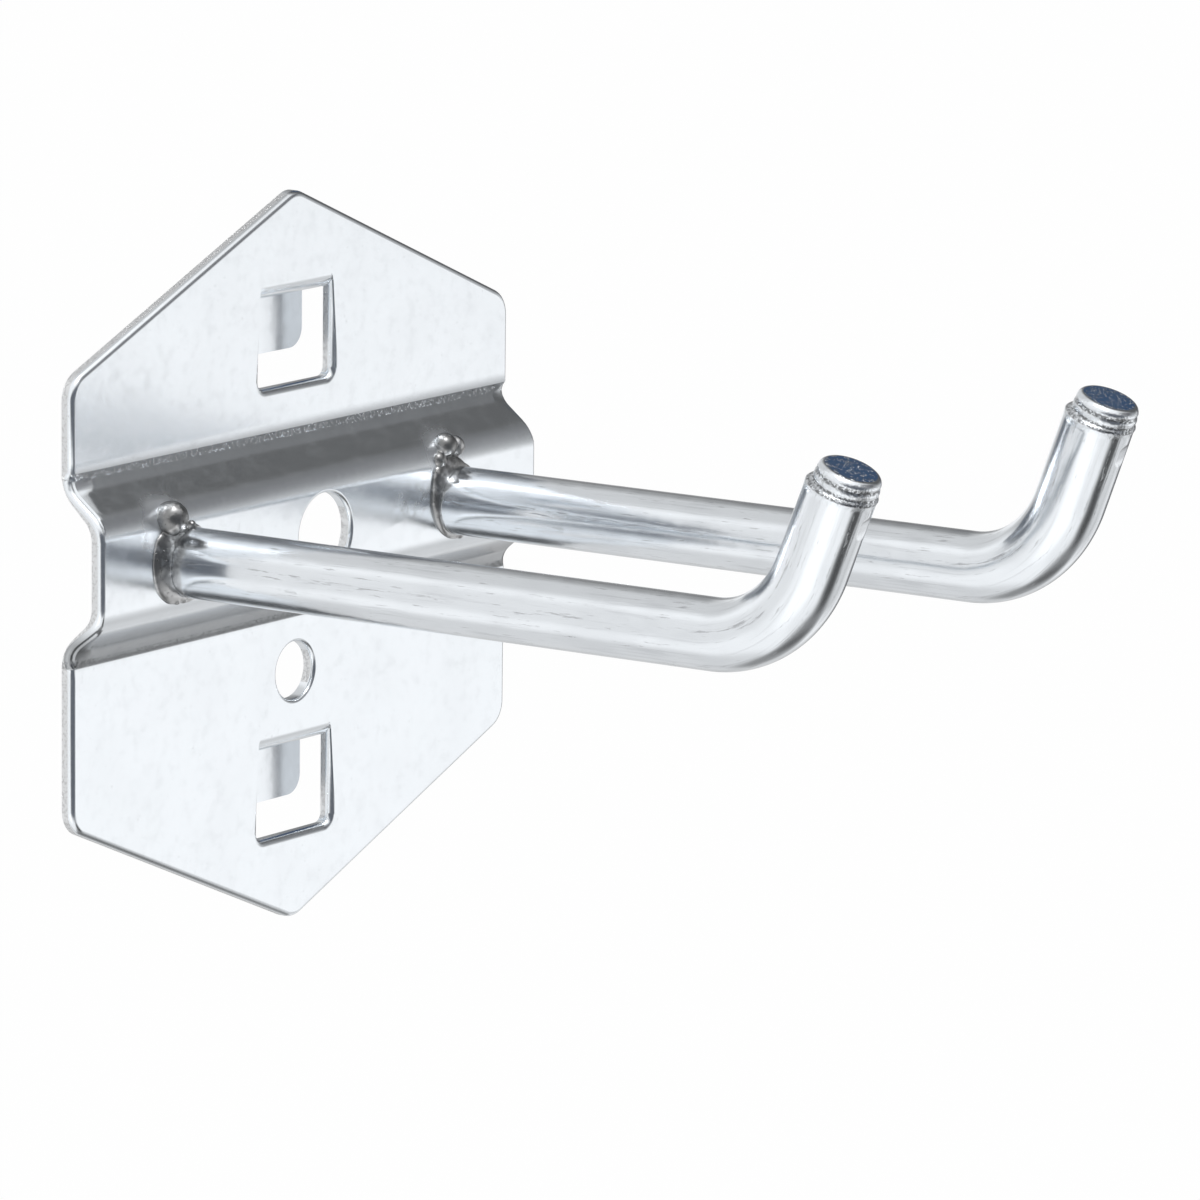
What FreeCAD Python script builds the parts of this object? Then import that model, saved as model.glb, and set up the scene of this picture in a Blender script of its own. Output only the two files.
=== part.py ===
"""Double prong hook for a perforated panel with square holes.

A stamped steel back plate carries two round wire prongs. The plate is one sheet: a pointed outline,
a channel pushed forward across its full width, and two windows whose metal is joggled back into
tabs that hang behind the panel. The prongs butt on the face of the channel, each held by a weld
bead, and their free ends are bent up.

Frame, in millimetres: +Z is up and the prongs reach towards -Y. The origin lies on the plane where
the back plate meets the panel, on the centre line and half way between the two tabs.
"""
import FreeCAD, Part
import math
import os

import Sketcher
from FreeCAD import Vector

# Driving sizes: alias, value in millimetres or degrees, what it is
SIZES = (
    ("plate_width", 57.5, "width of the back plate"),
    ("plate_height", 61.7, "height of the back plate between its two points, before rounding"),
    ("side_height", 36.7, "height of the straight sides between the sloping shoulders"),
    ("sheet", 1.1, "thickness of the sheet"),
    ("corner_round", 2.4, "radius at the six corners of the outline"),
    ("channel_centre", 2.95, "height of the middle of the channel"),
    ("channel_depth", 3.15, "how far the channel stands forward"),
    ("channel_face", 8.4, "height of the flat face of the channel, corner to corner"),
    ("channel_foot", 14.0, "height of the channel where it leaves the plate, corner to corner"),
    ("channel_bend", 2.2, "inside radius of the four bends of the channel"),
    ("panel_pitch", 38.0, "distance between the panel's rows of holes, and so between the tabs"),
    ("window_width", 9.6, "width of each window"),
    ("window_height", 8.9, "height of each window"),
    ("window_round", 0.8, "radius at the corners of each window"),
    ("tab_side_gap", 0.1, "cut between each side of a tab and its window"),
    ("tab_bend", 0.4, "inside radius of the two bends of a tab"),
    ("tab_space", 2.15, "space for the panel between the plate and a hanging tab"),
    ("tab_drop", 2.2, "how far a tab hangs below the middle of its window"),
    ("tab_round", 1.6, "radius at the lower corners of a tab"),
    ("centre_hole_diameter", 6.8, "hole through the face of the channel"),
    ("centre_hole_height", 2.35, "height of that hole"),
    ("lower_hole_diameter", 4.9, "hole through the plate below the channel"),
    ("lower_hole_height", -9.65, "height of that hole"),
    ("prong_diameter", 5.8, "diameter of the wire"),
    ("prong_spacing", 35.5, "distance between the axes of the two prongs"),
    ("prong_height", 2.6, "height at which the axes of the prongs leave the channel"),
    ("prong_rise", 1.0, "angle by which the prongs rise towards their free ends"),
    ("prong_length", 52.5, "length of a prong from the channel to its bend"),
    ("prong_bend_radius", 10.2, "radius of the bend, on the axis of the wire"),
    ("left_bend_angle", 67.3, "angle that the left prong's free end is bent up by"),
    ("left_upturn_length", 7.2, "straight length after the left bend, up to the step"),
    ("right_bend_angle", 68.5, "angle that the right prong's free end is bent up by"),
    ("right_upturn_length", 7.7, "straight length after the right bend, up to the step"),
    ("cap_height", 1.6, "length of the narrower end above the step"),
    ("cap_diameter", 5.3, "diameter of the narrower end"),
    ("cap_round", 0.6, "radius round the top of the end"),
    ("flash_depth", 0.9, "how far the flat rim of a weld stands off the channel"),
    ("dome_stand", 0.3, "height of the centre of a weld's dome above the channel"),
    ("left_flash_radius", 4.1, "radius of the left weld's rim"),
    ("left_flash_side", -1.0, "how far the left weld's rim sits to the side of the prong's axis"),
    ("left_flash_rise", 0.9, "how far the left weld's rim sits above the prong's axis"),
    ("left_dome_radius", 1.7, "radius of the left weld's dome"),
    ("left_dome_side", -2.0, "how far the left weld's dome sits to the side of the prong's axis"),
    ("left_dome_rise", 3.8, "how far the left weld's dome sits above the prong's axis"),
    ("right_flash_radius", 3.9, "radius of the right weld's rim"),
    ("right_flash_side", -0.3, "how far the right weld's rim sits to the side of the prong's axis"),
    ("right_flash_rise", 0.7, "how far the right weld's rim sits above the prong's axis"),
    ("right_dome_radius", 1.6, "radius of the right weld's dome"),
    ("right_dome_side", -1.2, "how far the right weld's dome sits to the side of the prong's axis"),
    ("right_dome_rise", 4.1, "how far the right weld's dome sits above the prong's axis"),
)

NEAR = 1e-5
# The sketcher counts its own lines down: the across axis, from the origin, then the height axis
ORIGIN_POINT = DEPTH_AXIS = -1
HEIGHT_AXIS = DEPTH_AXIS - 1
# The sketcher's numbers for the start, the end and the centre of a curve
START, END, CENTRE = range(1, 4)
# The outside of a bend keeps the sheet's thickness round its inside
BEND_RADII = {"outside": "sizes.channel_bend + sizes.sheet", "inside": "sizes.channel_bend"}

document = FreeCAD.newDocument("pegboard_hook")


def make_sheet():
    """Puts the driving sizes in a spreadsheet, one row each."""
    sheet = document.addObject("Spreadsheet::Sheet", "sizes")
    for row, (alias, value, meaning) in enumerate(SIZES, start=1):
        sheet.set(f"A{row}", meaning)
        sheet.set(f"B{row}", str(value))
        sheet.setAlias(f"B{row}", alias)
    document.recompute()
    return sheet


sizes = make_sheet()


def size(expression):
    """The present number of an expression over the driving sizes."""
    return float(sizes.evalExpression(expression))


# Bodies, sketches and constraints

def new_body(label):
    body = document.addObject("PartDesign::Body", label)
    body.Label = label
    return body


def origin_part(body, role):
    return next(part for part in body.Origin.OriginFeatures if part.Role == role)


def new_sketch(body, plane, name):
    """A sketch on one of the body's own origin planes."""
    sketch = body.newObject("Sketcher::SketchObject", name)
    sketch.AttachmentSupport = [(origin_part(body, plane), "")]
    sketch.MapMode = "FlatFace"
    return sketch


def relate(sketch, kind, *references):
    """Adds a constraint that holds no number."""
    sketch.addConstraint(Sketcher.Constraint(kind, *references))


def measure(sketch, name, kind, references, expression):
    """Adds a named dimension and ties it to an expression over the sheet."""
    value = size(expression.replace("sizes.", ""))
    index = sketch.addConstraint(Sketcher.Constraint(kind, *references, value))
    sketch.renameConstraint(index, name)
    sketch.setExpression(f"Constraints.{name}", expression)


def add_line(sketch, start, end):
    return sketch.addGeometry(Part.LineSegment(Vector(*start, 0), Vector(*end, 0)), False)


def add_circle(sketch, centre, radius):
    return sketch.addGeometry(Part.Circle(Vector(*centre, 0), Vector(0, 0, 1), radius), False)


def add_arc(sketch, centre, radius, start_angle, end_angle):
    """An arc, counter-clockwise, with its angles in degrees."""
    circle = Part.Circle(Vector(*centre, 0), Vector(0, 0, 1), radius)
    arc = Part.ArcOfCircle(circle, math.radians(start_angle), math.radians(end_angle))
    return sketch.addGeometry(arc, False)


def add_polygon(sketch, corners):
    """A closed chain of lines, returned as their numbers in order."""
    lines = [add_line(sketch, start, end) for start, end in zip(corners, corners[1:] + corners[:1])]
    for line, following in zip(lines, lines[1:] + lines[:1]):
        relate(sketch, "Coincident", line, END, following, START)
    return lines


def edges_at(shape, direction, points):
    """Names of the straight edges along a direction that pass over the points, seen along it."""
    found = []
    for number, edge in enumerate(shape.Edges, start=1):
        if len(edge.Vertexes) < 2:
            continue
        start, end = (vertex.Point for vertex in edge.Vertexes)
        along = end - start
        if along.Length < NEAR or along.cross(direction).Length > NEAR * along.Length:
            continue
        if any((start - point).cross(direction).Length < NEAR * 10 for point in points):
            found.append(f"Edge{number}")
    return found


def add_fillet(body, name, base, edges, radius_expression):
    fillet = body.newObject("PartDesign::Fillet", name)
    fillet.Base = (base, edges)
    fillet.setExpression("Radius", radius_expression)
    document.recompute()
    return fillet


def add_pocket(body, name, sketch):
    """Cuts a sketch right through, both ways."""
    pocket = body.newObject("PartDesign::Pocket", name)
    pocket.Profile = sketch
    pocket.Type = "ThroughAll"
    pocket.Midplane = True
    return pocket


# Back plate

def draw_outline(body):
    """The pointed outline, drawn on the plane of the panel."""
    half = size("plate_width / 2")
    shoulder = size("side_height / 2")
    point = size("plate_height / 2")
    sketch = new_sketch(body, "XZ_Plane", "plate_outline")
    left_corners = [(0, point), (-half, shoulder), (-half, -shoulder)]
    right_corners = [(0, -point), (half, -shoulder), (half, shoulder)]
    corners = left_corners + right_corners
    top_left, left, low_left, low_right, right, top_right = add_polygon(sketch, corners)
    relate(sketch, "Vertical", left)
    relate(sketch, "Vertical", right)
    relate(sketch, "PointOnObject", top_left, START, HEIGHT_AXIS)
    relate(sketch, "PointOnObject", low_right, START, HEIGHT_AXIS)
    relate(sketch, "Symmetric", left, START, right, END, HEIGHT_AXIS)
    relate(sketch, "Horizontal", left, END, right, START)
    measure(sketch, "width", "DistanceX", (left, START, right, END), "sizes.plate_width")
    measure(sketch, "side", "DistanceY", (left, END, left, START), "sizes.side_height")
    measure(sketch, "shoulder", "DistanceY", (ORIGIN_POINT, START, left, START), "sizes.side_height / 2")
    measure(sketch, "full", "DistanceY", (low_right, START, top_left, START), "sizes.plate_height")
    measure(sketch, "point", "DistanceY", (ORIGIN_POINT, START, top_left, START), "sizes.plate_height / 2")
    return sketch, [Vector(x, 0, z) for x, z in corners]


def draw_front_waste(sketch, side):
    """What is pressed away in front of the flat above (side 1) or below (side -1) the channel."""
    wall = size("sheet")
    front = size("sheet + channel_depth")
    foot = size("channel_centre") + side * size("channel_foot / 2")
    face = size("channel_centre") + side * size("channel_face / 2")
    reach = side * size("plate_height / 2 + sheet")
    corners = [(-wall, reach), (-wall, foot), (-front, face), (-front - wall, face), (-front - wall, reach)]
    flat, slope, step, outside, end = add_polygon(sketch, corners)
    sign = "+" if side > 0 else "-"
    name = "upper" if side > 0 else "lower"
    relate(sketch, "Vertical", flat)
    relate(sketch, "Horizontal", step)
    relate(sketch, "Vertical", outside)
    relate(sketch, "Horizontal", end)
    measure(sketch, f"{name}_wall", "DistanceX", (flat, END, ORIGIN_POINT, START), "sizes.sheet")
    measure(sketch, f"{name}_front", "DistanceX", (slope, END, ORIGIN_POINT, START),
            "sizes.sheet + sizes.channel_depth")
    measure(sketch, f"{name}_spare", "DistanceX", (step, END, step, START), "sizes.sheet")
    measure(sketch, f"{name}_foot", "DistanceY", (ORIGIN_POINT, START, flat, END),
            f"sizes.channel_centre {sign} sizes.channel_foot / 2")
    measure(sketch, f"{name}_face", "DistanceY", (ORIGIN_POINT, START, slope, END),
            f"sizes.channel_centre {sign} sizes.channel_face / 2")
    measure(sketch, f"{name}_reach", "DistanceY", (ORIGIN_POINT, START, flat, START),
            f"{sign}(sizes.plate_height / 2 + sizes.sheet)")
    return slope


def draw_trough(sketch, upper_slope, lower_slope):
    """The hollow behind the channel, one sheet thickness inside its front.

    Returns the corners of all the channel's bends, still sharp, on both skins of the sheet.
    """
    wall = size("sheet")
    depth = size("channel_depth")
    centre = size("channel_centre")
    run = size("(channel_foot - channel_face) / 2")
    slope_length = math.hypot(run, depth)
    narrower = wall * (slope_length - run) / depth
    front_foot = size("channel_foot / 2")
    front_face = size("channel_face / 2")
    foot = front_foot - narrower
    face = front_face - narrower
    corners = [(0, centre + foot), (-depth, centre + face), (-depth, centre - face), (0, centre - foot),
               (wall, centre - foot), (wall, centre + foot)]
    upper, bottom, lower, low_end, outside, high_end = add_polygon(sketch, corners)
    relate(sketch, "Parallel", upper, upper_slope)
    relate(sketch, "Parallel", lower, lower_slope)
    relate(sketch, "Vertical", bottom)
    relate(sketch, "Horizontal", low_end)
    relate(sketch, "Vertical", outside)
    relate(sketch, "Horizontal", high_end)
    relate(sketch, "PointOnObject", upper, START, HEIGHT_AXIS)
    relate(sketch, "PointOnObject", lower, END, HEIGHT_AXIS)
    measure(sketch, "trough_depth", "DistanceX", (upper, END, ORIGIN_POINT, START), "sizes.channel_depth")
    measure(sketch, "trough_spare", "DistanceX", (low_end, START, low_end, END), "sizes.sheet")
    measure(sketch, "upper_wall_behind", "Distance", (upper, START, upper_slope), "sizes.sheet")
    measure(sketch, "lower_wall_behind", "Distance", (lower, END, lower_slope), "sizes.sheet")
    front_bends = [(-wall - depth, centre + front_face), (-wall - depth, centre - front_face)]
    front_feet = [(-wall, centre + front_foot), (-wall, centre - front_foot)]
    behind_bends = [corners[1], corners[2]]
    behind_feet = [corners[0], corners[3]]
    return {"outside": front_bends + behind_feet, "inside": front_feet + behind_bends}


def draw_window(body):
    """The upper window: a rectangle with round corners."""
    half = size("window_width / 2")
    round_off = size("window_round")
    top = size("panel_pitch / 2 + window_height / 2")
    low = size("panel_pitch / 2 - window_height / 2")
    sketch = new_sketch(body, "XZ_Plane", "window_outline")
    upper = add_line(sketch, (half - round_off, top), (-half + round_off, top))
    upper_left = add_arc(sketch, (-half + round_off, top - round_off), round_off, 90, 180)
    left = add_line(sketch, (-half, top - round_off), (-half, low + round_off))
    lower_left = add_arc(sketch, (-half + round_off, low + round_off), round_off, 180, 270)
    lower = add_line(sketch, (-half + round_off, low), (half - round_off, low))
    lower_right = add_arc(sketch, (half - round_off, low + round_off), round_off, 270, 360)
    right = add_line(sketch, (half, low + round_off), (half, top - round_off))
    upper_right = add_arc(sketch, (half - round_off, top - round_off), round_off, 0, 90)
    chain = [upper, upper_left, left, lower_left, lower, lower_right, right, upper_right]
    for piece, following in zip(chain, chain[1:] + chain[:1]):
        relate(sketch, "Tangent", piece, END, following, START)
    relate(sketch, "Horizontal", upper)
    relate(sketch, "Vertical", left)
    for arc in (lower_left, lower_right, upper_right):
        relate(sketch, "Equal", upper_left, arc)
    relate(sketch, "Symmetric", left, START, right, END, HEIGHT_AXIS)
    measure(sketch, "width", "DistanceX", (left, START, right, END), "sizes.window_width")
    measure(sketch, "height", "DistanceY", (lower, START, upper, END), "sizes.window_height")
    measure(sketch, "corner", "Radius", (upper_left,), "sizes.window_round")
    measure(sketch, "top", "DistanceY", (ORIGIN_POINT, START, upper, START),
            "sizes.panel_pitch / 2 + sizes.window_height / 2")
    return sketch


def draw_tab(body):
    """Side view of the upper tab: down out of the plate, back through the panel, and down behind it."""
    wall = size("sheet")
    bend = size("tab_bend")
    space = size("tab_space")
    top = size("panel_pitch / 2 + window_height / 2")
    low = size("panel_pitch / 2 - tab_drop")
    under = top - bend - wall
    back_bend = space - bend
    hang = under - bend
    sketch = new_sketch(body, "YZ_Plane", "tab_section")
    front = add_line(sketch, (-wall, top + wall), (-wall, top))
    front_arc = add_arc(sketch, (bend, top), bend + wall, 180, 270)
    below = add_line(sketch, (bend, under), (back_bend, under))
    below_arc = add_arc(sketch, (back_bend, hang), bend, 0, 90)
    inner = add_line(sketch, (space, hang), (space, low))
    tip = add_line(sketch, (space, low), (space + wall, low))
    outer = add_line(sketch, (space + wall, low), (space + wall, hang))
    above_arc = add_arc(sketch, (back_bend, hang), bend + wall, 0, 90)
    above = add_line(sketch, (back_bend, top - bend), (bend, top - bend))
    back_arc = add_arc(sketch, (bend, top), bend, 180, 270)
    back = add_line(sketch, (0, top), (0, top + wall))
    root = add_line(sketch, (0, top + wall), (-wall, top + wall))
    relate(sketch, "Tangent", front, END, front_arc, START)
    relate(sketch, "Tangent", front_arc, END, below, START)
    relate(sketch, "Tangent", below, END, below_arc, END)
    relate(sketch, "Tangent", below_arc, START, inner, START)
    relate(sketch, "Coincident", inner, END, tip, START)
    relate(sketch, "Coincident", tip, END, outer, START)
    relate(sketch, "Tangent", outer, END, above_arc, START)
    relate(sketch, "Tangent", above_arc, END, above, START)
    relate(sketch, "Tangent", above, END, back_arc, END)
    relate(sketch, "Tangent", back_arc, START, back, START)
    relate(sketch, "Coincident", back, END, root, START)
    relate(sketch, "Coincident", root, END, front, START)
    relate(sketch, "Coincident", front_arc, CENTRE, back_arc, CENTRE)
    relate(sketch, "Coincident", below_arc, CENTRE, above_arc, CENTRE)
    for line in (front, inner, outer, back):
        relate(sketch, "Vertical", line)
    for line in (below, tip, root):
        relate(sketch, "Horizontal", line)
    relate(sketch, "PointOnObject", back, END, HEIGHT_AXIS)
    measure(sketch, "inside_bend", "Radius", (back_arc,), "sizes.tab_bend")
    measure(sketch, "outside_bend", "Radius", (front_arc,), "sizes.tab_bend + sizes.sheet")
    measure(sketch, "inside_hang", "Radius", (below_arc,), "sizes.tab_bend")
    measure(sketch, "outside_hang", "Radius", (above_arc,), "sizes.tab_bend + sizes.sheet")
    measure(sketch, "space", "DistanceX", (ORIGIN_POINT, START, inner, START), "sizes.tab_space")
    measure(sketch, "hinge", "DistanceY", (ORIGIN_POINT, START, front, END),
            "sizes.panel_pitch / 2 + sizes.window_height / 2")
    measure(sketch, "overlap", "DistanceY", (front, END, front, START), "sizes.sheet")
    measure(sketch, "drop", "DistanceY", (ORIGIN_POINT, START, tip, START),
            "sizes.panel_pitch / 2 - sizes.tab_drop")
    return sketch


def draw_holes(body):
    sketch = new_sketch(body, "XZ_Plane", "hole_circles")
    for name in ("centre_hole", "lower_hole"):
        circle = add_circle(sketch, (0, size(f"{name}_height")), size(f"{name}_diameter / 2"))
        relate(sketch, "PointOnObject", circle, CENTRE, HEIGHT_AXIS)
        measure(sketch, f"{name}_across", "Diameter", (circle,), f"sizes.{name}_diameter")
        measure(sketch, f"{name}_level", "DistanceY", (ORIGIN_POINT, START, circle, CENTRE),
                f"sizes.{name}_height")
    return sketch


def make_back_plate():
    body = new_body("back_plate")
    outline, corners = draw_outline(body)
    blank = body.newObject("PartDesign::Pad", "blank")
    blank.Profile = outline
    blank.setExpression("Length", "sizes.sheet + sizes.channel_depth")
    document.recompute()
    along_y = Vector(0, 1, 0)
    along_x = Vector(1, 0, 0)
    upright = edges_at(blank.Shape, along_y, corners)
    add_fillet(body, "outline_corners", blank, upright, "sizes.corner_round")

    section = new_sketch(body, "YZ_Plane", "channel_section")
    slopes = [draw_front_waste(section, side) for side in (1, -1)]
    bend_corners = draw_trough(section, *slopes)
    formed = add_pocket(body, "channel", section)
    document.recompute()
    for skin, radius in BEND_RADII.items():
        bends = edges_at(formed.Shape, along_x, [Vector(0, y, z) for y, z in bend_corners[skin]])
        formed = add_fillet(body, f"channel_{skin}_bends", formed, bends, radius)

    window = add_pocket(body, "window", draw_window(body))
    tab = body.newObject("PartDesign::Pad", "tab")
    tab.Profile = draw_tab(body)
    tab.Midplane = True
    tab.setExpression("Length", "sizes.window_width - 2 * sizes.tab_side_gap")
    document.recompute()
    pair = body.newObject("PartDesign::LinearPattern", "window_and_tab_pair")
    pair.Originals = [window, tab]
    pair.Direction = (origin_part(body, "Z_Axis"), [""])
    pair.Reversed = True
    pair.Occurrences = 2
    pair.setExpression("Length", "sizes.panel_pitch")
    body.Tip = pair
    document.recompute()

    side = size("window_width / 2 - tab_side_gap")
    tab_ends = [size(f"{sign} panel_pitch / 2 - tab_drop") for sign in ("", "-")]
    tab_corners = [Vector(x, 0, z) for x in (-side, side) for z in tab_ends]
    add_fillet(body, "tab_corners", pair, edges_at(pair.Shape, along_y, tab_corners), "sizes.tab_round")
    add_pocket(body, "round_holes", draw_holes(body))
    document.recompute()
    return body


# Prongs

def place_at_root(body, side_sign):
    """Puts a body's origin where the axis of a prong meets the face of the channel."""
    body.setExpression("Placement.Base.x", f"{side_sign} sizes.prong_spacing / 2")
    body.setExpression("Placement.Base.y", "-(sizes.sheet + sizes.channel_depth)")
    body.setExpression("Placement.Base.z", "sizes.prong_height")


def turn_about_x(item, expression):
    """Turns a body or a primitive about its own X axis by an angle in degrees."""
    item.Placement.Rotation = FreeCAD.Rotation(Vector(1, 0, 0), size(expression.replace("sizes.", "")))
    item.setExpression("Placement.Rotation.Angle", f"({expression}) * 1deg")


def draw_prong_section(body):
    """The round section of the wire, one sheet thickness behind the face of the channel."""
    sketch = new_sketch(body, "XZ_Plane", "prong_section")
    sketch.setExpression("AttachmentOffset.Base.z", "-sizes.sheet")
    circle = add_circle(sketch, (0, 0), size("prong_diameter / 2"))
    relate(sketch, "Coincident", circle, CENTRE, ORIGIN_POINT, START)
    measure(sketch, "across", "Diameter", (circle,), "sizes.prong_diameter")
    return sketch


def draw_prong_path(body, side):
    """The axis of the wire: straight out, bent up, straight again."""
    straight = size("prong_length")
    radius = size("prong_bend_radius")
    angle = math.radians(size(f"{side}_bend_angle"))
    upturn = size(f"{side}_upturn_length")
    bend_end = (-straight - radius * math.sin(angle), radius - radius * math.cos(angle))
    end = (bend_end[0] - upturn * math.cos(angle), bend_end[1] + upturn * math.sin(angle))
    sketch = new_sketch(body, "YZ_Plane", "prong_path")
    run = add_line(sketch, (size("sheet"), 0), (-straight, 0))
    arc = add_arc(sketch, (-straight, radius), radius, 270 - math.degrees(angle), 270)
    rise = add_line(sketch, bend_end, end)
    relate(sketch, "PointOnObject", run, START, DEPTH_AXIS)
    relate(sketch, "Horizontal", run)
    relate(sketch, "Tangent", run, END, arc, END)
    relate(sketch, "Tangent", arc, START, rise, START)
    measure(sketch, "behind", "DistanceX", (ORIGIN_POINT, START, run, START), "sizes.sheet")
    measure(sketch, "straight", "DistanceX", (run, END, ORIGIN_POINT, START), "sizes.prong_length")
    measure(sketch, "bend_radius", "Radius", (arc,), "sizes.prong_bend_radius")
    measure(sketch, "outwards", "DistanceX", (rise, END, rise, START),
            f"sizes.{side}_upturn_length * cos(sizes.{side}_bend_angle * 1deg)")
    measure(sketch, "upwards", "DistanceY", (rise, START, rise, END),
            f"sizes.{side}_upturn_length * sin(sizes.{side}_bend_angle * 1deg)")
    return sketch, Vector(0, *end), Vector(0, -math.cos(angle), math.sin(angle))


def add_cap(body, side):
    """The narrower end of the wire, standing on the end of the path."""
    angle = f"sizes.{side}_bend_angle * 1deg"
    upturn = f"sizes.{side}_upturn_length"
    bend_reach = f"sizes.prong_bend_radius * sin({angle})"
    bend_rise = f"sizes.prong_bend_radius * (1 - cos({angle}))"
    cap = body.newObject("PartDesign::AdditiveCylinder", "cap")
    cap.setExpression("Radius", "sizes.cap_diameter / 2")
    cap.setExpression("Height", "sizes.cap_height")
    turn_about_x(cap, f"90 - sizes.{side}_bend_angle")
    cap.setExpression("Placement.Base.y", f"-sizes.prong_length - {bend_reach} - {upturn} * cos({angle})")
    cap.setExpression("Placement.Base.z", f"{bend_rise} + {upturn} * sin({angle})")
    document.recompute()
    return cap


def add_seat(body, width_expression):
    """Cuts off everything behind the face of the channel."""
    seat = body.newObject("PartDesign::SubtractiveBox", "seat")
    for edge in ("Length", "Width", "Height"):
        seat.setExpression(edge, f"2 * {width_expression}")
    seat.setExpression("Placement.Base.x", f"-{width_expression}")
    return seat


def make_prong(side, side_sign):
    body = new_body(f"{side}_prong")
    path, step_centre, direction = draw_prong_path(body, side)
    wire = body.newObject("PartDesign::AdditivePipe", "wire")
    wire.Profile = draw_prong_section(body)
    wire.Spine = path
    document.recompute()
    cap = add_cap(body, side)
    top_centre = step_centre + direction * size("cap_height")
    rims = [f"Edge{number}" for number, edge in enumerate(cap.Shape.Edges, start=1)
            if edge.Curve.TypeId == "Part::GeomCircle" and edge.Curve.Center.isEqual(top_centre, NEAR * 10)]
    add_fillet(body, "cap_rim", cap, rims, "sizes.cap_round")
    seat = add_seat(body, "sizes.prong_diameter")
    turn_about_x(seat, "sizes.prong_rise")
    seat.setExpression("Placement.Base.y", "sizes.prong_diameter * sin(sizes.prong_rise * 1deg)")
    seat.setExpression("Placement.Base.z", "-sizes.prong_diameter * cos(sizes.prong_rise * 1deg)")
    turn_about_x(body, "-sizes.prong_rise")
    place_at_root(body, side_sign)
    return body


# Weld beads

def draw_channel_front(body):
    """The front of the channel with its bends, seen along it, and closed behind to cut a seat with."""
    radius = size("channel_bend + sheet")
    depth = size("channel_depth")
    run = size("(channel_foot - channel_face) / 2")
    high = size("channel_centre + channel_face / 2 - prong_height")
    low = size("channel_centre - channel_face / 2 - prong_height")
    turn = math.atan2(depth, run)
    set_back = radius * math.tan(turn / 2)
    along = set_back * math.sin(turn)
    rise = set_back * math.cos(turn)
    bent = math.degrees(turn)
    sketch = new_sketch(body, "YZ_Plane", "channel_front")
    low_slope = add_line(sketch, (depth, low - run), (along, low - rise))
    low_arc = add_arc(sketch, (radius, low + set_back), radius, 180, 180 + bent)
    face = add_line(sketch, (0, low + set_back), (0, high - set_back))
    high_arc = add_arc(sketch, (radius, high - set_back), radius, 180 - bent, 180)
    high_slope = add_line(sketch, (along, high + rise), (depth, high + run))
    back = add_line(sketch, (depth, high + run), (depth, low - run))
    relate(sketch, "Tangent", low_slope, END, low_arc, END)
    relate(sketch, "Tangent", low_arc, START, face, START)
    relate(sketch, "Tangent", face, END, high_arc, END)
    relate(sketch, "Tangent", high_arc, START, high_slope, START)
    relate(sketch, "Coincident", high_slope, END, back, START)
    relate(sketch, "Coincident", back, END, low_slope, START)
    relate(sketch, "Vertical", face)
    relate(sketch, "Vertical", back)
    relate(sketch, "PointOnObject", face, START, HEIGHT_AXIS)
    relate(sketch, "Equal", low_arc, high_arc)
    measure(sketch, "bend", "Radius", (high_arc,), "sizes.channel_bend + sizes.sheet")
    measure(sketch, "depth", "DistanceX", (ORIGIN_POINT, START, high_slope, END), "sizes.channel_depth")
    sides = (("high", "+", high, high_slope, END), ("low", "-", low, low_slope, START))
    for name, sign, height, slope, end in sides:
        corner = sketch.addGeometry(Part.Point(Vector(0, height, 0)), True)
        relate(sketch, "PointOnObject", corner, START, slope)
        relate(sketch, "PointOnObject", corner, START, HEIGHT_AXIS)
        measure(sketch, f"{name}_face", "DistanceY", (ORIGIN_POINT, START, corner, START),
                f"sizes.channel_centre {sign} sizes.channel_face / 2 - sizes.prong_height")
        measure(sketch, f"{name}_foot", "DistanceY", (ORIGIN_POINT, START, slope, end),
                f"sizes.channel_centre {sign} sizes.channel_foot / 2 - sizes.prong_height")
    return sketch


def make_weld(side, side_sign):
    """A flat rim of run metal with a dome on it, cut to seat on the channel and round the prong."""
    body = new_body(f"{side}_weld")
    rim = body.newObject("PartDesign::AdditiveEllipsoid", "rim")
    rim.setExpression("Radius1", f"sizes.{side}_flash_radius")
    rim.setExpression("Radius2", f"sizes.{side}_flash_radius")
    rim.setExpression("Radius3", "sizes.flash_depth")
    rim.setExpression("Placement.Base.x", f"sizes.{side}_flash_side")
    rim.setExpression("Placement.Base.z", f"sizes.{side}_flash_rise")
    dome = body.newObject("PartDesign::AdditiveSphere", "dome")
    dome.setExpression("Radius", f"sizes.{side}_dome_radius")
    dome.setExpression("Placement.Base.x", f"sizes.{side}_dome_side")
    dome.setExpression("Placement.Base.y", "-sizes.dome_stand")
    dome.setExpression("Placement.Base.z", f"sizes.{side}_dome_rise")
    add_pocket(body, "seat", draw_channel_front(body))
    reach = f"(2 * sizes.{side}_flash_radius)"
    bore = body.newObject("PartDesign::SubtractiveCylinder", "bore")
    bore.setExpression("Radius", "sizes.prong_diameter / 2")
    bore.setExpression("Height", f"sizes.sheet + {reach}")
    turn_about_x(bore, "90 - sizes.prong_rise")
    bore.setExpression("Placement.Base.y", "sizes.sheet * cos(sizes.prong_rise * 1deg)")
    bore.setExpression("Placement.Base.z", "-sizes.sheet * sin(sizes.prong_rise * 1deg)")
    document.recompute()
    place_at_root(body, side_sign)
    return body


def make_nodes():
    nodes = [make_back_plate()]
    for side, side_sign in (("left", "-"), ("right", "")):
        nodes.append(make_prong(side, side_sign))
        nodes.append(make_weld(side, side_sign))
    document.recompute()
    return nodes


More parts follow.
